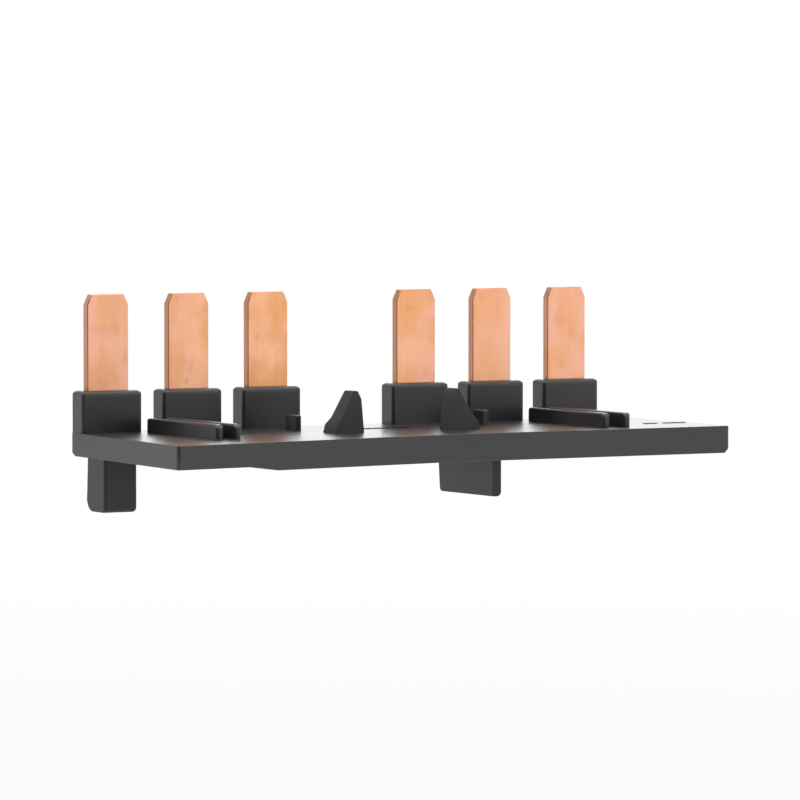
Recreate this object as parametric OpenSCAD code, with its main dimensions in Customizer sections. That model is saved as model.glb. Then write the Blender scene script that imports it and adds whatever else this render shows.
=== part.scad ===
// Reversing contactor link: three flat copper links in a moulded plate, with six blades in a row.
// X runs along the row, Y away from the viewer, Z up the blades.
// The origin is on the plate's top, at the middle of the row.

/* [Terminals] */
// Distance between neighbouring poles of one contactor
pole_pitch = 11.5; // [10.5:0.1:14]
// Distance between the two contactors
contactor_pitch = 45; // [43:0.5:60]
// Blade width along the row
blade_w = 5.8; // [4:0.1:6.5]
// Copper thickness
copper_t = 1.2; // [0.8:0.1:1.6]
// Blade height above its collar
blade_h = 12.1; // [6:0.1:20]
// Tip chamfer across the blade
tip_w = 0.6; // [0.2:0.1:1.5]
// Tip chamfer along the blade
tip_h = 1.3; // [0.4:0.1:3]
// Inside radius of the bend at a blade's foot
bend_r = 0.5; // [0.3:0.05:0.7]

/* [Links] */
// Width of each cross strip
strip_w = 4; // [3:0.1:5]
// Plastic between neighbouring cross strips
strip_gap = 1.6; // [1.2:0.1:2.5]
// Distance from the blades' middle plane to the first cross strip
strip_start = 4; // [3.2:0.1:6]
// Room round the copper in its channel
link_clear = 0.1; // [0.05:0.01:0.15]

/* [Collars] */
// Collar wall beside the blade
collar_side_wall = 1.25; // [0.8:0.05:1.8]
// Collar wall in front of the blade
collar_front_wall = 1.15; // [0.7:0.05:1.5]
// Collar wall behind the blade
collar_back_wall = 0.6; // [0.5:0.05:1.2]
// Collar height above the plate
collar_h = 5.3; // [3:0.05:8]
// Radius of a collar's upright edges
collar_r = 0.5; // [0.2:0.05:0.8]
// Radius of a collar's top edges
collar_top_r = 0.75; // [0.2:0.05:0.8]

/* [Plate] */
// Plastic above the copper
skin_t = 0.9; // [0.75:0.05:1.5]
// Cover thickness
cover_t = 1.3; // [1.1:0.05:2]
// Cover thickness under the left end
cover_thin_t = 0.75; // [0.4:0.05:1]
// Rim round the cover
rim_w = 1.3; // [1:0.1:2]
// Room between the cover and the rim
cover_clear = 0.1; // [0.05:0.01:0.2]
// Plate depth, from the blades' middle plane to the straight front edge
plate_d = 26.6; // [25:0.1:34]
// Plate beyond the last collar at the right end
right_margin = 4.4; // [4:0.05:8]
// How far the left end leans out at its front corner
flare_out = 3.2; // [1:0.1:6]
// How far the front edge runs forward at the left corner
flare_forward = 6.8; // [2:0.1:10]
// Where the front edge begins to run forward, right of the middle
flare_x = 2; // [-6:0.5:8]
// Length of the thin left end, from the first blade's centre
thin_len = 3.6; // [3:0.1:5]
// Length of the ramp between the thin end and the full thickness
ramp_len = 4.1; // [3:0.1:6]
// Radius of the upright front corners
corner_r = 0.4; // [0.2:0.05:0.8]
// Chamfer along the right end's lower edge
end_chamfer = 0.7; // [0.2:0.1:1]
// Height of the chamfer along the back's lower edge
back_chamfer_h = 0.5; // [0.2:0.05:0.55]
// Depth of the chamfer along the back's lower edge
back_chamfer_d = 1.2; // [0.4:0.1:1.5]

/* [Rails] */
// Rail height
rail_h = 1.85; // [1:0.05:3]
// Rail thickness
rail_t = 1; // [0.9:0.05:1.2]
// Slot between the left pair of rails
left_slot_w = 1.5; // [1:0.1:2.4]
// Slot between the right pair of rails
right_slot_w = 2.1; // [1:0.1:2.6]
// How far the left pair lies outwards from midway between its two blades
left_rail_shift = 0.3; // [-0.6:0.05:0.6]
// How far the right pair lies outwards from midway between its two blades
right_rail_shift = -0.2; // [-0.6:0.05:0.6]
// Room between a rail and the row of collars
rail_back_gap = 2; // [0.6:0.1:3]
// Distance from a rail's front end to the plate's front edge
rail_front_gap = 4; // [2:0.1:8]
// Radius of a rail's upper ends
rail_end_r = 0.9; // [0.3:0.05:0.95]
// Radius of a rail's upright end edges
rail_corner_r = 0.42; // [0.1:0.02:0.44]
// Radius of a rail's upper long edges
rail_edge_r = 0.3; // [0.1:0.05:0.34]

/* [Pegs and posts] */
// Peg height
peg_h = 5.25; // [3:0.05:8]
// Peg width at its foot
peg_w = 4.3; // [2.5:0.05:5]
// Peg depth at its foot
peg_d = 3.15; // [2:0.05:5]
// Distance from the middle of the row to a peg's upright side
peg_x = 6.4; // [3:0.1:8]
// Distance from the pegs' front to the straight front edge
peg_gap = 9.1; // [2:0.1:12]
// Post height
post_h = 1.95; // [1:0.05:4]
// Post thickness
post_t = 0.8; // [0.5:0.05:1.2]
// Post length
post_len = 2.5; // [1.5:0.1:4]
// Radius of a post's upper edges
post_r = 0.24; // [0.1:0.02:0.24]
// Left post's middle, from the middle of the row
left_post_x = -11.2; // [-16:0.1:-9]
// Right post's middle, from the middle of the row
right_post_x = 16.6; // [9:0.1:18]
// Room between a post and the row of collars
post_gap = 4.6; // [4:0.1:9]

/* [Pads] */
// Height of the low pads on the plate
pad_h = 0.12; // [0.1:0.02:0.24]
// Middle pad width
middle_pad_w = 9; // [4:0.1:12]
// Middle pad depth
middle_pad_d = 7; // [2:0.1:8]
// Room between the middle pad and the row of collars
middle_pad_gap = 1.2; // [0.5:0.1:4]
// Width of the long pad at the right end
long_pad_w = 3.3; // [1:0.1:4]
// Width of the short pad at the right end
short_pad_w = 1.9; // [1:0.1:3]
// Gap between the two pads at the right end
end_pad_gap = 1.1; // [0.4:0.1:2]
// Distance from the long pad to the plate's right end
end_pad_margin = 0.8; // [0.5:0.1:3]
// Depth of the two pads at the right end and of the left pad
end_pad_d = 0.6; // [0.4:0.1:4]
// Distance from the two pads to the plate's front edge
end_pad_front = 9.1; // [2:0.1:14]
// Width of the pad beside the left pair of rails
left_pad_w = 3.2; // [1:0.1:4]
// Distance from the left pad to the left pair of rails
left_pad_gap = 3.7; // [0.5:0.1:5]
// Distance from the left pad to the row of collars
left_pad_back = 11.1; // [4:0.1:14]

/* [Legs] */
// Block leg width
block_leg_w = 4.6; // [3:0.1:5]
// Block leg depth
block_leg_d = 4.9; // [3:0.1:6]
// Block leg length below the plate
block_leg_h = 6.65; // [4:0.05:10]
// Distance from the blades' middle plane to the block leg
block_leg_y = 3.9; // [2:0.1:6]
// Radius of the block leg's lower back edge
block_leg_r = 1.6; // [0.5:0.1:2.5]
// Radius of both legs' lower right edges
leg_edge_r = 0.6; // [0.2:0.05:0.65]
// Wall leg thickness
wall_leg_t = 1.25; // [0.7:0.05:1.3]
// Wall leg length
wall_leg_len = 13.9; // [8:0.1:16]
// Wall leg height below the plate
wall_leg_h = 5.35; // [3:0.05:9]
// Wall leg's middle, from the middle of the row
wall_leg_x = 14.4; // [11:0.1:14.4]
// Distance from the blades' middle plane to the wall leg
wall_leg_y = 1.5; // [1:0.1:6]
// How far the wall leg's back edge leans in
wall_leg_lean = 0.5; // [0:0.1:1]
// Radius of the wall leg's lower back corner
wall_leg_r = 0.6; // [0.2:0.05:1]

/* [Stakes] */
// Stake diameter
stake_d = 1.8; // [1.4:0.1:2]
// Diameter of a stake's formed head
stake_head_d = 2.7; // [2.4:0.1:2.9]
// Thickness of a stake's formed head
stake_head_t = 0.5; // [0.3:0.05:0.7]
// Room round a stake
stake_clear = 0.1; // [0.05:0.01:0.15]

/* [Hidden] */
$fn = 48;
over = 1;
tangent_gap = 0.002;
housing_color = "#1d1d1f";
cover_color = "#202022";
copper_color = "#d08a5c";

// Places along the row, as distances from the middle
inner_x = contactor_pitch / 2 - pole_pitch;
middle_x = contactor_pitch / 2;
outer_x = contactor_pitch / 2 + pole_pitch;
blade_xs = [-outer_x, -middle_x, -inner_x, inner_x, middle_x, outer_x];
between_inner = (inner_x + middle_x) / 2;
between_outer = (middle_x + outer_x) / 2;

// Collars, and the slots that the blades pass through
slot_w = blade_w + 2 * link_clear;
slot_d = copper_t + 2 * link_clear;
collar_w = slot_w + 2 * collar_side_wall;
collar_front = slot_d / 2 + collar_front_wall;
collar_back = slot_d / 2 + collar_back_wall;
blade_top = collar_h + blade_h;

// Levels, downwards from the plate's top
copper_top = -skin_t;
copper_low = copper_top - copper_t;
cover_top = copper_low - link_clear;
plate_low = cover_top - cover_t;
thin_low = cover_top - cover_thin_t;
bend_y = -copper_t / 2 - bend_r;
bend_z = copper_top + bend_r;

// Plate outline
plate_left = -outer_x - collar_w / 2;
plate_right = outer_x + collar_w / 2 + right_margin;
left_front = plate_d + flare_forward;
lean = flare_out / (left_front + collar_back);
thin_end = -outer_x + thin_len;
ramp_end = thin_end + ramp_len;
leg_left = plate_left - lean * (block_leg_y + collar_back);

// Rails, from the collars to near the front edge
rail_back = collar_front + rail_back_gap;
rail_front = plate_d - rail_front_gap;
left_rail_x = -between_outer - left_rail_shift;
right_rail_x = between_outer + right_rail_shift;

// Stakes, in the plastic between the links and round them
strips_front = strip_start + 3 * strip_w + 2 * strip_gap;
stake_back_y = -(strip_start + strip_w + strip_gap) / 2;
stake_front_y = -(strips_front + plate_d - rim_w) / 2;
stake_right_x = (outer_x + slot_w / 2 + plate_right - rim_w) / 2;
stake_places = [
    [-between_inner, stake_back_y], [between_inner, stake_back_y],
    [-between_inner, stake_front_y], [between_inner, stake_front_y],
    [stake_right_x, stake_front_y], [stake_right_x, stake_back_y],
];

// Pegs: profiles in shares of width or depth and of height, from the upright side or the front
peg_front_profile = [
    [0, 0], [0.04, 0.8], [0.15, 1], [0.33, 1], [0.745, 0.36], [0.94, 0.2], [1, 0],
];
peg_side_profile = [[0, 0], [0.15, 1], [0.85, 1], [1, 0]];

// Low pads: middle across, back edge, width, depth
long_pad_x = plate_right - end_pad_margin - long_pad_w / 2;
short_pad_x = long_pad_x - (long_pad_w + short_pad_w) / 2 - end_pad_gap;
end_pad_back = -plate_d + end_pad_front + end_pad_d;
left_pad_x = left_rail_x + left_slot_w / 2 + rail_t + left_pad_gap + left_pad_w / 2;
pads = [
    [0, -collar_front - middle_pad_gap, middle_pad_w, middle_pad_d],
    [long_pad_x, end_pad_back, long_pad_w, end_pad_d],
    [short_pad_x, end_pad_back, short_pad_w, end_pad_d],
    [left_pad_x, -collar_front - left_pad_back, left_pad_w, end_pad_d],
];

// Outline of the plate, moved inwards by a margin, with its own margin at the back
function outline(margin, back_margin) = [
    [plate_left + margin, collar_back - back_margin],
    [plate_left - flare_out + margin, -left_front + margin],
    [flare_x, -plate_d + margin],
    [plate_right - margin, -plate_d + margin],
    [plate_right - margin, collar_back - back_margin],
];

// What a fillet takes off the corner b between the points a and c, just short of its tangents
module corner_waste(a, b, c, r) {
    to_a = (a - b) / norm(a - b);
    to_c = (c - b) / norm(c - b);
    half = acos(to_a * to_c) / 2;
    inward = (to_a + to_c) / norm(to_a + to_c);
    centre = b + inward * r / sin(half);
    reach = r / tan(half);
    difference() {
        polygon([b + to_a * reach, b - inward * r, b + to_c * reach, centre]);
        translate(centre) circle(r + tangent_gap);
    }
}

// Rectangle with round corners, centred
module round_rect(w, d, r) {
    square([w - 2 * r, d], center = true);
    square([w, d - 2 * r], center = true);
    for (x = [-1, 1], y = [-1, 1])
        translate([x * (w / 2 - r), y * (d / 2 - r)]) circle(r);
}

// Upright profile with round upper corners, from below zero up to a height
module round_top(w, h, r) {
    translate([-w / 2, -over]) square([w, h - r + over]);
    translate([-w / 2 + r, 0]) square([w - 2 * r, h]);
    for (x = [-1, 1])
        translate([x * (w / 2 - r), h - r]) circle(r);
}

// Profile drawn in X and Z, extruded along Y about the middle
module along_y(depth) {
    rotate([90, 0, 0]) linear_extrude(depth, center = true) children();
}

// Profile drawn in Y and Z, extruded along X about the middle
module along_x(width) {
    rotate([90, 0, 90]) linear_extrude(width, center = true) children();
}

module collar(x) {
    depth = collar_front + collar_back;
    translate([x, (collar_back - collar_front) / 2, 0]) intersection() {
        translate([0, 0, copper_top / 2])
            linear_extrude(collar_h + skin_t) round_rect(collar_w, depth, collar_r);
        along_y(depth + over) round_top(collar_w, collar_h, collar_top_r);
        along_x(collar_w + over) round_top(depth, collar_h, collar_top_r);
    }
}

module rail(x) {
    length = rail_front - rail_back;
    translate([x, -(rail_front + rail_back) / 2, 0]) intersection() {
        translate([0, 0, -skin_t / 2])
            linear_extrude(rail_h + skin_t / 2) round_rect(rail_t, length, rail_corner_r);
        along_y(length + over) round_top(rail_t, rail_h, rail_edge_r);
        along_x(rail_t + over) round_top(length, rail_h, rail_end_r);
    }
}

module rail_pair(x, slot) {
    for (side = [-1, 1])
        rail(x + side * (slot + rail_t) / 2);
}

// Peg with an upright side towards the middle of the row and a long slope away from it
module peg(side) {
    foot = skin_t / 2;
    translate([side * peg_x, -plate_d + peg_gap, 0]) {
        intersection() {
            translate([0, peg_d / 2, 0]) along_y(peg_d)
                polygon([for (p = peg_front_profile) [side * p[0] * peg_w, p[1] * peg_h]]);
            along_x(2 * peg_w)
                polygon([for (p = peg_side_profile) [p[0] * peg_d, p[1] * peg_h]]);
        }
        translate([side * peg_w / 2, peg_d / 2, -foot / 2])
            cube([peg_w, peg_d, foot], center = true);
    }
}

module post(x) {
    translate([x, -collar_front - post_gap - post_len / 2, 0]) intersection() {
        translate([0, 0, (post_h - skin_t / 2) / 2])
            cube([post_t, post_len, post_h + skin_t / 2], center = true);
        along_y(post_len + over) round_top(post_t, post_h, post_r);
        along_x(post_t + over) round_top(post_len, post_h, post_r);
    }
}

module pad(place) {
    foot = skin_t / 2;
    translate([place[0] - place[2] / 2, place[1] - place[3], -foot])
        cube([place[2], place[3], pad_h + foot]);
}

// Flat run of a link: two arms and a cross strip, widened by a margin
module link_plan(x, row, margin) {
    near_edge = strip_start + row * (strip_w + strip_gap);
    far_edge = near_edge + strip_w;
    for (side = [-1, 1])
        translate([side * x - blade_w / 2 - margin, -far_edge - margin])
            square([blade_w + 2 * margin, far_edge + bend_y + 2 * margin]);
    translate([-x - blade_w / 2 - margin, -far_edge - margin])
        square([2 * x + blade_w + 2 * margin, strip_w + 2 * margin]);
}

// Channel of a link in the plate, with a slot up through each collar
module link_channel(x, row) {
    translate([0, 0, cover_top - over])
        linear_extrude(copper_top - cover_top + over) link_plan(x, row, link_clear);
    for (side = [-1, 1]) {
        relief = bend_z + link_clear;
        back = slot_d / 2;
        front = bend_y - link_clear;
        translate([side * x - slot_w / 2, front, cover_top - over])
            cube([slot_w, back - front, relief - cover_top + over]);
        translate([side * x - slot_w / 2, -slot_d / 2, cover_top - over])
            cube([slot_w, slot_d, collar_h - cover_top + 2 * over]);
    }
}

// Everything below the plate's underside, with the thin left end, the ramp and the chamfers
module below_plate() {
    far_left = plate_left - flare_out - over;
    far_right = plate_right + over;
    deep = plate_low - over;
    along_y(2 * (left_front + over)) polygon([
        [far_left, deep], [far_left, thin_low], [thin_end, thin_low], [ramp_end, plate_low],
        [plate_right - end_chamfer, plate_low], [plate_right, plate_low + end_chamfer],
        [far_right, plate_low + end_chamfer], [far_right, deep],
    ]);
    back_chamfer(far_left, thin_end, thin_low);
    back_chamfer(thin_end, far_right, plate_low);
}

// Wedge below the plate's back edge between two places along the row
module back_chamfer(from, to, low) {
    translate([(from + to) / 2, 0, 0]) along_x(to - from) polygon([
        [collar_back - back_chamfer_d, low], [collar_back, low + back_chamfer_h],
        [collar_back + over, low + back_chamfer_h], [collar_back + over, low - over],
        [collar_back - back_chamfer_d, low - over],
    ]);
}

// Space for the cover above a level, open at the back
module cover_space(margin, low) {
    translate([0, 0, low])
        linear_extrude(cover_top - low) polygon(outline(rim_w + margin, -over));
}

// What rounding takes off the plate's upright front corners
module front_corners() {
    edge = outline(0, 0);
    translate([0, 0, plate_low - over]) linear_extrude(2 * over - plate_low) {
        corner_waste(edge[0], edge[1], edge[2], corner_r);
        corner_waste(edge[2], edge[3], edge[4], corner_r);
    }
}

module stakes(d, head_d, head_t) {
    for (place = stake_places) translate([place[0], place[1], 0]) {
        translate([0, 0, plate_low]) cylinder(d = d, h = cover_t + skin_t / 2);
        translate([0, 0, plate_low]) cylinder(d = head_d, h = head_t);
    }
}

module housing() {
    color(housing_color) {
        difference() {
            union() {
                difference() {
                    translate([0, 0, plate_low])
                        linear_extrude(-plate_low) polygon(outline(0, 0));
                    below_plate();
                    cover_space(0, plate_low - over);
                    front_corners();
                }
                for (x = blade_xs) collar(x);
                rail_pair(left_rail_x, left_slot_w);
                rail_pair(right_rail_x, right_slot_w);
                for (side = [-1, 1]) peg(side);
                post(left_post_x);
                post(right_post_x);
                for (place = pads) pad(place);
                stakes(stake_d, stake_head_d, stake_head_t);
            }
            link_channel(outer_x, 2);
            link_channel(middle_x, 1);
            link_channel(inner_x, 0);
        }
    }
}

// Upright profile with its lower right corner rounded, between two levels
module round_low(w, low, top, r) {
    difference() {
        translate([-w / 2, low]) square([w, top - low]);
        corner_waste([-w / 2, low], [w / 2, low], [w / 2, top], r);
    }
}

// Leg with a round lower back edge, at the left end; its shoulder bears on the rim
module block_leg() {
    low = thin_low - block_leg_h;
    middle = [leg_left + block_leg_w / 2, -block_leg_y - block_leg_d / 2, 0];
    difference() {
        translate(middle) intersection() {
            along_x(block_leg_w) round_low(block_leg_d, low, cover_top, block_leg_r);
            along_y(block_leg_d) round_low(block_leg_w, low, cover_top, leg_edge_r);
        }
        difference() {
            translate([leg_left - over, -block_leg_y - block_leg_d - over, thin_low])
                cube([block_leg_w + 2 * over, block_leg_d + 2 * over, cover_thin_t + over]);
            cover_space(cover_clear, thin_low - over);
        }
    }
}

// Thin upright leg under the right half
module wall_leg() {
    low = plate_low - wall_leg_h;
    foot = plate_low + cover_t / 2;
    front_low = [-wall_leg_len, low];
    back_low = [-wall_leg_lean, low];
    back_high = [0, plate_low];
    translate([wall_leg_x, -wall_leg_y, 0]) intersection() {
        along_x(wall_leg_t) difference() {
            polygon([front_low, back_low, back_high, [0, foot], [-wall_leg_len, foot]]);
            corner_waste(front_low, back_low, back_high, wall_leg_r);
        }
        along_y(2 * wall_leg_len + over) round_low(wall_leg_t, low, foot, leg_edge_r);
    }
}

module cover() {
    color(cover_color) {
        difference() {
            intersection() {
                cover_space(cover_clear, plate_low - over);
                translate([0, 0, plate_low])
                    linear_extrude(-plate_low) polygon(outline(0, 0));
            }
            below_plate();
            stakes(stake_d + 2 * stake_clear, stake_head_d + 2 * stake_clear,
                stake_head_t + stake_clear);
        }
        block_leg();
        wall_leg();
    }
}

// Link joining two blades that lie at equal distances from the middle
module link(x, row) {
    color(copper_color) {
        translate([0, 0, copper_low]) linear_extrude(copper_t) link_plan(x, row, 0);
        for (side = [-1, 1]) translate([side * x, 0, 0]) {
            along_x(blade_w) {
                translate([bend_y, bend_z]) intersection() {
                    difference() {
                        circle(bend_r + copper_t);
                        circle(bend_r);
                    }
                    translate([0, -bend_r - copper_t])
                        square(bend_r + copper_t);
                }
            }
            along_y(copper_t) polygon([
                [-blade_w / 2, bend_z], [-blade_w / 2, blade_top - tip_h],
                [-blade_w / 2 + tip_w, blade_top], [blade_w / 2 - tip_w, blade_top],
                [blade_w / 2, blade_top - tip_h], [blade_w / 2, bend_z],
            ]);
        }
    }
}

module outer_link() { link(outer_x, 2); }
module middle_link() { link(middle_x, 1); }
module inner_link() { link(inner_x, 0); }

housing();
cover();
outer_link();
middle_link();
inner_link();
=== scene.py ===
import math

import bmesh
import bpy
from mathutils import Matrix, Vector


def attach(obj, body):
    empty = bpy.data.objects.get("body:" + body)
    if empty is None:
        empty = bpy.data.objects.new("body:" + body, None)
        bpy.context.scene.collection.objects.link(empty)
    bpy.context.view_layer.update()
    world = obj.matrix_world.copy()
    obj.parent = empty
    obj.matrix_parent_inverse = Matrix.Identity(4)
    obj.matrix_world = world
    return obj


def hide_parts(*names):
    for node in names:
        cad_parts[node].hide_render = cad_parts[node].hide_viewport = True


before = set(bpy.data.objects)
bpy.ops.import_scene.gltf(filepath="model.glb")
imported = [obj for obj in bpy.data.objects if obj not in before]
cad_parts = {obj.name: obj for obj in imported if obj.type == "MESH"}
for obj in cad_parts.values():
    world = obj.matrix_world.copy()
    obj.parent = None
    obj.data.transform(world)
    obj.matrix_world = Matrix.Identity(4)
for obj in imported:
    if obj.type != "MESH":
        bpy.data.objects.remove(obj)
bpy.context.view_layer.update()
mm = 0.001
print("frame loaded:", ", ".join(sorted(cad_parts)))


# A wire is one socket of a node tree. Sums on wires add Math nodes, and node() adds any other.
class Wire:
    def __init__(self, tree, socket=None):
        self.tree = tree
        self.socket = socket

    def node(self, kind, settings=None, sockets=None, output=0):
        made = self.tree.nodes.new(kind)
        for key, value in (settings or {}).items():
            setattr(made, key, value)
        for key, value in (sockets or {}).items():
            if isinstance(value, Wire):
                self.tree.links.new(value.socket, made.inputs[key])
            else:
                made.inputs[key].default_value = value
        return Wire(self.tree, made.outputs[output])

    def sum(self, operation, first, second):
        return self.node("ShaderNodeMath", {"operation": operation}, {0: first, 1: second})

    def __add__(self, other):
        return self.sum("ADD", self, other)

    def __sub__(self, other):
        return self.sum("SUBTRACT", self, other)

    def __rsub__(self, other):
        return self.sum("SUBTRACT", other, self)

    def __mul__(self, other):
        return self.sum("MULTIPLY", self, other)

    __radd__ = __add__
    __rmul__ = __mul__


def stepMask(wire, band):   # 0 below the band, 1 above it, smooth between
    return wire.node("ShaderNodeMapRange", {"interpolation_type": "SMOOTHSTEP"},
                     {"Value": wire, "From Min": band[0], "From Max": band[1]})


def tint(share, first, second):   # from the first colour to the second
    ends = [colour if isinstance(colour, Wire) else (*colour, 1) for colour in (first, second)]
    return share.node("ShaderNodeMix", {"data_type": "RGBA"}, {0: share, 6: ends[0], 7: ends[1]}, 2)


def noise(where, scale, detail=2.0, rough=0.5):
    return where.node("ShaderNodeTexNoise", {}, {"Vector": where, "Scale": scale, "Detail": detail,
                                                 "Roughness": rough})


def stretched(where, scale, place=(0, 0, 0)):
    return where.node("ShaderNodeMapping", {}, {"Vector": where, "Scale": scale, "Location": place})


def newFinish(name):
    material = bpy.data.materials.new(name)
    material.use_nodes = True
    material.node_tree.nodes.clear()
    return material, Wire(material.node_tree)


def closeFinish(material, surface):
    out = surface.tree.nodes.new("ShaderNodeOutputMaterial")
    surface.tree.links.new(surface.socket, out.inputs["Surface"])
    return material


# The camera stands low at the left, a long way off
cameraView = {
    "place": Vector((-364.6, -642.43, 38.1)) * mm,
    "left": 30.176,      # degrees round from the front
    "down": 2.702,       # degrees below level
    "across": 7.997,     # degrees over the square picture
    "sensor": 36,
    "clip": (0.01, 20),
}


def makeCamera(view):
    left, down = math.radians(view["left"]), math.radians(view["down"])
    ahead = Vector((math.sin(left) * math.cos(down), math.cos(left) * math.cos(down), -math.sin(down)))
    data = bpy.data.cameras.new("camera")
    data.sensor_width = view["sensor"]
    data.lens = data.sensor_width / 2 / math.tan(math.radians(view["across"]) / 2)
    data.clip_start, data.clip_end = view["clip"]
    camera = bpy.data.objects.new("camera", data)
    camera.location = view["place"]
    camera.rotation_euler = ahead.to_track_quat("-Z", "Y").to_euler()
    bpy.context.scene.collection.objects.link(camera)
    bpy.context.scene.camera = camera


makeCamera(cameraView)
print("camera made")

# Moulded black plastic: fine spark grain, cloudy gloss, slight hollows, scuffs, and paler edges that are
# partly rubbed wear and partly a painted highlight.
# A band is where a mask goes from 0 to 1.
housingBlack = {
    "deep": (0.0192, 0.0166, 0.0194), "pale": (0.0268, 0.0238, 0.0272), "rubbedAndHighlight": (0.05, 0.047, 0.052),
    "cloudScale": 130, "cloudBand": (0.3, 0.7), "cloudHeight": 0.5,
    "grainScale": 5200, "grainDepth": 0.000012, "grainRough": 0.05,
    "sinkScale": 210, "sinkHeight": 6.0,                                      # hollows left by shrinking
    "scuffScale": (70, 900, 900), "scuffBand": (0.66, 0.74), "scuffShine": 0.06,   # long marks of handling
    "edge": 0.22 * mm, "edgeBand": (0.01, 0.16), "edgeShare": 0.4,
    "patchScale": 700, "patchBand": (0.35, 0.65),                             # where the edges are paled: rubbed wear and painted highlight
    "gloss": (0.29, 0.38), "ior": 1.62, "bump": 0.5,
    "topBand": (0.9, 0.99), "topShine": 0.08,                                 # upward faces are glossier
}
coverBlack = dict(
    housingBlack, deep=(0.0136, 0.0117, 0.0137), pale=(0.0192, 0.0168, 0.0194), gloss=(0.32, 0.42), ior=1.52,
    grainScale=3800, grainDepth=0.00002, sinkHeight=3.0, topShine=0.0)
# the pegs are the same moulding as the plate; their paler colour is painted light, a lighter shade of the one
# plastic
pegBlackPaintedPaler = dict(   # duller and paler than the plate
    housingBlack, deep=(0.052, 0.051, 0.055), pale=(0.066, 0.065, 0.069), gloss=(0.6, 0.7), ior=1.4)


def mouldedBlack(name, look):
    material, paint = newFinish(name)
    where = paint.node("ShaderNodeTexCoord", output="Object")
    cloud = noise(where, look["cloudScale"], detail=4, rough=0.6)
    grain = noise(where, look["grainScale"], detail=3, rough=0.6)
    sink = noise(where, look["sinkScale"], detail=1)
    scuffs = stepMask(noise(stretched(where, look["scuffScale"]), scale=1), look["scuffBand"])
    # paler edges, partly rubbed wear and partly a painted highlight: where a rounded normal leaves the flat
    # one
    rounded = paint.node("ShaderNodeBevel", {"samples": 6}, {"Radius": look["edge"]})
    flat = paint.node("ShaderNodeNewGeometry", output="Normal")
    turn = paint.node("ShaderNodeVectorMath", {"operation": "DOT_PRODUCT"}, {0: rounded, 1: flat}, 1)
    patches = stepMask(noise(where, look["patchScale"], detail=3), look["patchBand"])
    edges = stepMask(1 - turn, look["edgeBand"]) * patches * look["edgeShare"]
    body = tint(stepMask(cloud, look["cloudBand"]), look["deep"], look["pale"])
    # the edges are paled, partly as rubbed wear and partly as a painted highlight
    wornAndHighlit = tint(edges, body, look["rubbedAndHighlight"])
    upward = paint.node("ShaderNodeSeparateXYZ", {}, {"Vector": flat}, 2)
    shine = look["scuffShine"] * scuffs + look["topShine"] * stepMask(upward, look["topBand"])
    low, high = look["gloss"]
    rough = low + (high - low) * cloud + look["grainRough"] * grain - shine
    height = grain + look["cloudHeight"] * cloud + look["sinkHeight"] * sink
    bump = paint.node("ShaderNodeBump", {}, {"Height": height, "Strength": look["bump"],
                                             "Distance": look["grainDepth"]})
    return closeFinish(material, paint.node("ShaderNodeBsdfPrincipled", {}, {
        "Base Color": wornAndHighlit, "Roughness": rough, "Normal": bump, "IOR": look["ior"]}))


# Bare copper strip: rolled faces with tarnish clouds, duller sheared edges, and a redder, darker band along
# the front edges, partly the burr and partly painted shade.
# A share is how far the mark's colour covers the one below.
rolledCopper = {
    "pink": (0.96, 0.50, 0.335), "rose": (0.99, 0.525, 0.315), "orange": (0.93, 0.43, 0.18),
    "brown": (0.60, 0.26, 0.13), "rough": 0.20, "bump": 0.6,
    "roseMiddle": 5.75 * mm, "pinkFrom": (14 * mm, 20 * mm),            # the blades near the ends are pinker
    "cloudScale": 210, "cloudStretch": (1, 1, 0.75), "cloudBand": (0.38, 0.62), "cloudRough": 0.14,
    "roseCloud": 0.9, "pinkCloud": 0.55,                                # share of orange on either
    "smudgeScale": 520, "smudgeStretch": (1, 1, 0.8), "smudgePlace": (0.1, 0, 0.1),
    "smudgeBand": (0.52, 0.72), "smudgeShare": 0.22, "smudgeHeight": 0.5,
    "brushScale": (4200, 4200, 90), "brushBand": (0.48, 0.75), "brushShare": 0.11,
    "brushRough": 0.10, "brushDepth": 0.000006,
    "speckScale": 1300, "speckBand": (0.72, 0.82), "speckShare": 0.45,
    # one small stain low on a blade's front
    "stainPlace": Vector((-22.9, -0.6, 6.2)) * mm, "stainReach": (0.05 * mm, 0.6 * mm), "stainShare": 0.6,
    "stainBand": (0.42, 0.6), "stainLeast": 0.35,
}
shearedCopper = dict(
    rolledCopper, pink=(0.60, 0.32, 0.22), rose=(0.58, 0.29, 0.20), orange=(0.56, 0.27, 0.15),
    brown=(0.30, 0.14, 0.09), rough=0.35, brushScale=(2600, 2600, 700), brushDepth=0.00002)
# partly the burr's own colour, partly painted shade along the rounded front edges
burrAndShadeCopper = dict(
    shearedCopper, pink=(0.66, 0.27, 0.15), rose=(0.60, 0.23, 0.12), orange=(0.58, 0.21, 0.09),
    brown=(0.32, 0.11, 0.06), rough=0.28)


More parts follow.
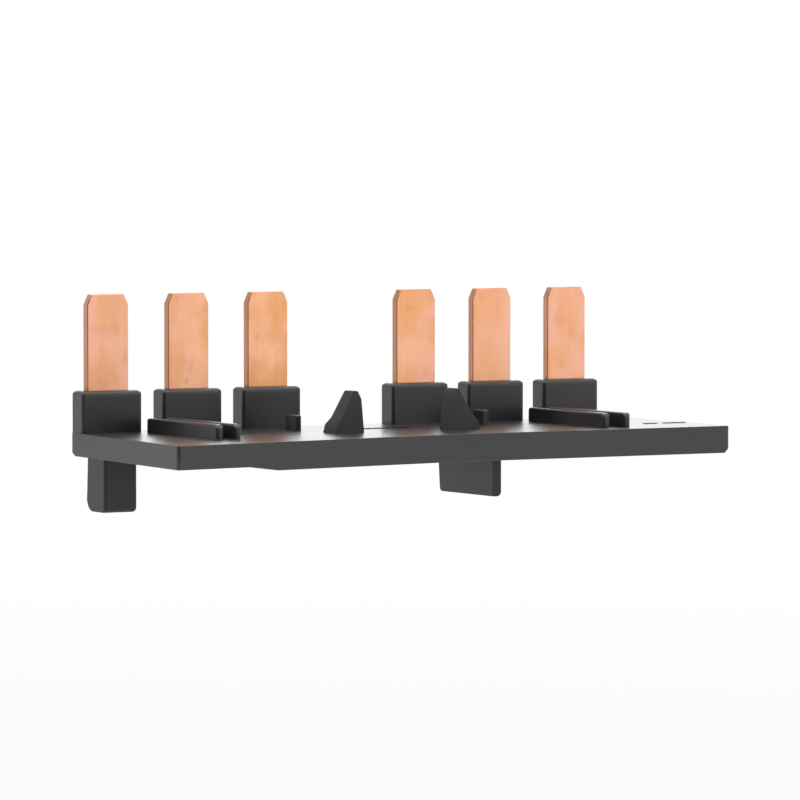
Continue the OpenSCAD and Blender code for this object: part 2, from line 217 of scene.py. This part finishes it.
def copperFinish(name, look):
    material, paint = newFinish(name)
    where = paint.node("ShaderNodeTexCoord", output="Object")
    along = paint.node("ShaderNodeSeparateXYZ", {}, {"Vector": where})
    off = paint.node("ShaderNodeMath", {"operation": "ABSOLUTE"}, {0: along + look["roseMiddle"]})
    pinker = stepMask(off, look["pinkFrom"])
    cloud = noise(stretched(where, look["cloudStretch"]), look["cloudScale"], detail=2.5)
    smudge = noise(stretched(where, look["smudgeStretch"], look["smudgePlace"]), look["smudgeScale"],
                   detail=3, rough=0.55)
    brush = noise(stretched(where, look["brushScale"]), scale=1, detail=3, rough=0.6)
    speck = noise(where, look["speckScale"])
    body = tint(pinker, look["rose"], look["pink"])
    clouded = look["roseCloud"] - (look["roseCloud"] - look["pinkCloud"]) * pinker
    body = tint(clouded * stepMask(cloud, look["cloudBand"]), body, look["orange"])
    for mark, pattern in (("smudge", smudge), ("brush", brush), ("speck", speck)):
        body = tint(look[mark + "Share"] * stepMask(pattern, look[mark + "Band"]), body, look["brown"])
    away = paint.node("ShaderNodeVectorMath", {"operation": "DISTANCE"}, {0: where, 1: look["stainPlace"]}, 1)
    broken = look["stainLeast"] + (1 - look["stainLeast"]) * stepMask(smudge, look["stainBand"])
    stain = (1 - stepMask(away, look["stainReach"])) * broken
    body = tint(look["stainShare"] * stain, body, look["brown"])
    rough = look["rough"] + look["cloudRough"] * cloud + look["brushRough"] * brush
    bump = paint.node("ShaderNodeBump", {}, {"Height": brush + look["smudgeHeight"] * smudge,
                                             "Strength": look["bump"], "Distance": look["brushDepth"]})
    return closeFinish(material, paint.node("ShaderNodeBsdfPrincipled", {}, {
        "Base Color": body, "Roughness": rough, "Normal": bump, "Metallic": 1.0}))


finishes = {
    "housing": [mouldedBlack("housing black", housingBlack), mouldedBlack("peg black painted paler", pegBlackPaintedPaler)],
    "cover": [mouldedBlack("cover black", coverBlack)],
    "links": [copperFinish("rolled copper", rolledCopper), copperFinish("sheared copper", shearedCopper),
              copperFinish("burr and shade copper", burrAndShadeCopper)],
}
print("finishes made")

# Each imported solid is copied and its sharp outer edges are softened
softEdges = {
    "merge": 0.002 * mm, "touch": 0.01 * mm, "facing": 0.99,
    "flat": math.radians(0.5), "sharp": math.radians(35), "smooth": math.radians(40), "flatWeight": 100,
    "plasticWidth": 0.08 * mm, "copperWidth": 0.14 * mm,
    "roundedFrom": -3 * mm,   # the rails and posts in front of this come rounded from the source
    "pegWidth": 0.14 * mm, "pegSpan": (6.2 * mm, 10.9 * mm), "pegDepth": (-17.7 * mm, -14.2 * mm),
    "legWidth": 0.4 * mm, "leftEnd": -30 * mm, "legTop": -4.5 * mm,
    "backWidth": 0.4 * mm, "tall": 2 * mm,
    "padTop": (0.1 * mm, 0.14 * mm),   # the low pads' height lies in this band
    "endPadWidth": 0.09 * mm, "endPadFrom": 33 * mm,
    "padCornerWidth": 1.0 * mm, "padSide": (4.48 * mm, 4.52 * mm), "padBack": -6 * mm,
}


def isUpright(edge, soft):
    return (edge.verts[1].co - edge.verts[0].co).xy.length < soft["merge"]


def isPeg(part, soft):   # an edge or a face of either peg
    span, depth = soft["pegSpan"], soft["pegDepth"]
    return all(vert.co.z > -soft["touch"] and span[0] < abs(vert.co.x) < span[1]
               and depth[0] < vert.co.y < depth[1] for vert in part.verts)


def isLegFront(edge, soft):   # all round the block leg's front face
    return (all(vert.co.x < soft["leftEnd"] for vert in edge.verts)
            and sum(vert.co.z for vert in edge.verts) / 2 < soft["legTop"]
            and any(face.normal.y < -soft["facing"] for face in edge.link_faces))


def isBackCorner(edge, soft):   # the plate's upright corner below the first collar
    return (isUpright(edge, soft) and edge.calc_length() > soft["tall"]
            and edge.verts[0].co.x < soft["leftEnd"] and edge.verts[0].co.z > soft["legTop"])


def isPadCorner(edge, soft):   # the middle pad's upright corners at the back
    near, far = soft["padSide"]
    return isUpright(edge, soft) and all(
        near < abs(vert.co.x) < far and vert.co.y > soft["padBack"]
        and abs(vert.co.z) < soft["padTop"][1] for vert in edge.verts)


def isEndPad(edge, soft):   # round the right end pads' tops
    low, high = soft["padTop"]
    return all(vert.co.x > soft["endPadFrom"] and low < vert.co.z < high for vert in edge.verts)


def isPlain(edge, soft):   # all but what stands on the plate in front of the collars
    return all(vert.co.z < soft["touch"] or vert.co.y > soft["roundedFrom"] for vert in edge.verts)


def softCopy(node, steps, soft):
    shape = bmesh.new()
    shape.from_mesh(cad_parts[node].data)
    bmesh.ops.remove_doubles(shape, verts=shape.verts, dist=soft["merge"])
    bmesh.ops.dissolve_limit(shape, angle_limit=soft["flat"], verts=shape.verts, edges=shape.edges)
    for chosen, width, segments in steps:
        edges = [edge for edge in shape.edges if len(edge.link_faces) == 2 and chosen(edge, soft)
                 and edge.calc_face_angle_signed() > soft["sharp"]]
        bmesh.ops.bevel(shape, geom=edges, offset=soft[width], offset_type="OFFSET", segments=segments,
                        profile=0.5, affect="EDGES", clamp_overlap=False, material=-1)
        shape.normal_update()
    return shape


def finishPiece(shape, name, node, materials):
    for face in shape.faces:
        face.smooth = True
    for edge in shape.edges:
        edge.smooth = len(edge.link_faces) == 2 and edge.calc_face_angle() < softEdges["smooth"]
    mesh = bpy.data.meshes.new(name)
    shape.to_mesh(mesh)
    shape.free()
    for material in materials:
        mesh.materials.append(material)
    piece = bpy.data.objects.new(name, mesh)
    bpy.context.scene.collection.objects.link(piece)
    weigh = piece.modifiers.new("flat faces", "WEIGHTED_NORMAL")
    weigh.keep_sharp, weigh.weight = True, softEdges["flatWeight"]
    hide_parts(node)
    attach(piece, "root")


# which edges, the width, and the segments across it
mouldedSteps = [
    (isPeg, "pegWidth", 3), (isLegFront, "legWidth", 5), (isBackCorner, "backWidth", 5),
    (isPadCorner, "padCornerWidth", 6), (isEndPad, "endPadWidth", 3), (isPlain, "plasticWidth", 3),
]
for node, slot in (("housing", "black_plastic"), ("cover", "cover_plastic")):
    moulding = softCopy(node, mouldedSteps, softEdges)
    for face in moulding.faces:
        face.material_index = 1 if isPeg(face, softEdges) else 0   # the pegs have their own finish, the same plastic with a painted lighter shade
    finishPiece(moulding, "soft_" + node, node, finishes[node])
print("housing and cover softened")

# The strips were cut along their sides and across the blades' tips, with a burr to the front; the front
# edges' redder, darker band is partly that burr and partly painted shade
cutFaces = {"tipFrom": 16 * mm, "slant": 0.3, "square": 0.7, "rolled": 0, "sheared": 1, "burrAndShade": 2}


def copperFace(face, cuts):   # which copper finish a face takes
    atTip = face.calc_center_median().z > cuts["tipFrom"]
    cut = max(abs(face.normal.x), face.normal.z if atTip else 0)
    # the rounded front edges take the darker, redder finish: partly the burr, partly a painted dark line of
    # shade
    if cut > cuts["slant"] and face.normal.y < -cuts["slant"]:
        return cuts["burrAndShade"]
    return cuts["sheared"] if cut > cuts["square"] else cuts["rolled"]


stripSteps = [(isPlain, "copperWidth", 3)]
for node in ("outer_link", "middle_link", "inner_link"):
    strip = softCopy(node, stripSteps, softEdges)
    for face in strip.faces:
        face.material_index = copperFace(face, cutFaces)
    finishPiece(strip, "soft_" + node, node, finishes["links"])
print("links softened")

# The stage: a white room and a pale floor well below
stageSet = {
    "roomLight": 0.5, "floorDrop": -55 * mm, "floorRadius": 1.6, "floorSides": 96,
    "floorWhite": (0.9, 0.9, 0.9, 1), "floorGlow": 0.75, "fade": (0.12, 0.5), "white": (1, 1, 1, 1),
}


def shownRays(start):   # 1 for rays that should meet plain white: camera, glossy and transmission
    outputs = start.node("ShaderNodeLightPath").socket.node.outputs
    rays = [Wire(start.tree, outputs[name])
            for name in ("Is Camera Ray", "Is Glossy Ray", "Is Transmission Ray")]
    either = start.sum("MAXIMUM", rays[0], rays[1])
    return start.sum("MAXIMUM", either, rays[2])


def makeRoom(stage):
    world = bpy.data.worlds.new("white room")
    world.use_nodes = True
    world.node_tree.nodes.clear()
    start = Wire(world.node_tree)
    level = stage["roomLight"] + (1 - stage["roomLight"]) * shownRays(start)
    glow = start.node("ShaderNodeBackground", {}, {"Color": stage["white"], "Strength": level})
    out = world.node_tree.nodes.new("ShaderNodeOutputWorld")
    world.node_tree.links.new(glow.socket, out.inputs["Surface"])
    bpy.context.scene.world = world


def stagePiece(name, shape, material):
    mesh = bpy.data.meshes.new(name)
    shape.to_mesh(mesh)
    shape.free()
    mesh.materials.append(material)
    thing = bpy.data.objects.new(name, mesh)
    bpy.context.scene.collection.objects.link(thing)
    return thing


def makeFloor(stage):
    material, paint = newFinish("pale floor")
    where = paint.node("ShaderNodeTexCoord", output="Object")
    matt = paint.node("ShaderNodeBsdfDiffuse", {}, {"Color": stage["floorWhite"]})
    glow = paint.node("ShaderNodeEmission", {}, {"Color": stage["white"], "Strength": 1.0})
    # the shadow shows near the object, and further off the floor is as white as the room
    reach = paint.node("ShaderNodeVectorMath", {"operation": "LENGTH"}, {0: where}, 1)
    plain = stage["floorGlow"] + (1 - stage["floorGlow"]) * stepMask(reach, stage["fade"])
    lit = paint.node("ShaderNodeMixShader", {}, {0: shownRays(paint) * plain, 1: matt, 2: glow})
    # from below the floor is clear, so that the underside can be looked at
    below = paint.node("ShaderNodeNewGeometry", output="Backfacing")
    clear = paint.node("ShaderNodeBsdfTransparent")
    both = paint.node("ShaderNodeMixShader", {}, {0: below, 1: lit, 2: clear})
    shape = bmesh.new()
    bmesh.ops.create_circle(shape, cap_ends=True, segments=stage["floorSides"], radius=stage["floorRadius"])
    bmesh.ops.translate(shape, vec=(0, 0, stage["floorDrop"]), verts=shape.verts)
    stagePiece("floor", shape, closeFinish(material, both))


# Cards that only reflections see: a dark one on the camera's side, a grey one behind the left end.
# Their ends are in degrees round from the front, going left.
cards = {
    "dark_card": {"radius": 0.45, "ends": (-4, 100), "top": 0.26, "steps": 24, "level": 0.03},
    "grey_card": {"radius": 0.45, "ends": (158, 186), "top": 0.26, "steps": 24, "level": 0.42},
}


def makeCard(name, card, foot):
    material, paint = newFinish(name)
    matt = paint.node("ShaderNodeEmission", {}, {"Color": (*[card["level"]] * 3, 1), "Strength": 1.0})
    start, end = (math.radians(angle) for angle in card["ends"])
    side = Vector((-math.sin(start), -math.cos(start), 0)) * card["radius"]
    shape = bmesh.new()
    ends = [shape.verts.new(side + Vector((0, 0, z))) for z in (foot, card["top"])]
    edge = shape.edges.new(ends)
    bmesh.ops.spin(shape, geom=[*ends, edge], cent=(0, 0, 0), axis=(0, 0, 1), angle=start - end,
                   steps=card["steps"], use_merge=False)
    panel = stagePiece(name, shape, closeFinish(material, matt))
    panel.visible_camera = panel.visible_diffuse = panel.visible_transmission = False
    panel.visible_shadow = panel.visible_volume_scatter = False


softBoxes = {
    "overhead": {"place": (0.05, 0.0, 0.75), "size": (0.7, 0.7), "watts": 2.6},
    "left": {"place": (-0.75, -0.2, 0.45), "size": (0.5, 0.5), "watts": 0.9},
    "behind": {"place": (0.62, 0.62, 0.3), "size": (0.7, 0.4), "watts": 1.6},
}


def makeSoftBox(name, box):
    data = bpy.data.lights.new(name, "AREA")
    data.shape = "RECTANGLE"
    data.size, data.size_y = box["size"]
    data.energy = box["watts"]
    lamp = bpy.data.objects.new(name, data)
    lamp.location = box["place"]
    lamp.rotation_euler = (-Vector(box["place"])).to_track_quat("-Z", "Y").to_euler()
    lamp.visible_camera = False
    bpy.context.scene.collection.objects.link(lamp)


makeRoom(stageSet)
makeFloor(stageSet)
for name, card in cards.items():
    makeCard(name, card, stageSet["floorDrop"])
for name, box in softBoxes.items():
    makeSoftBox(name, box)
bpy.context.scene.view_settings.view_transform = "Standard"
print("stage lit")
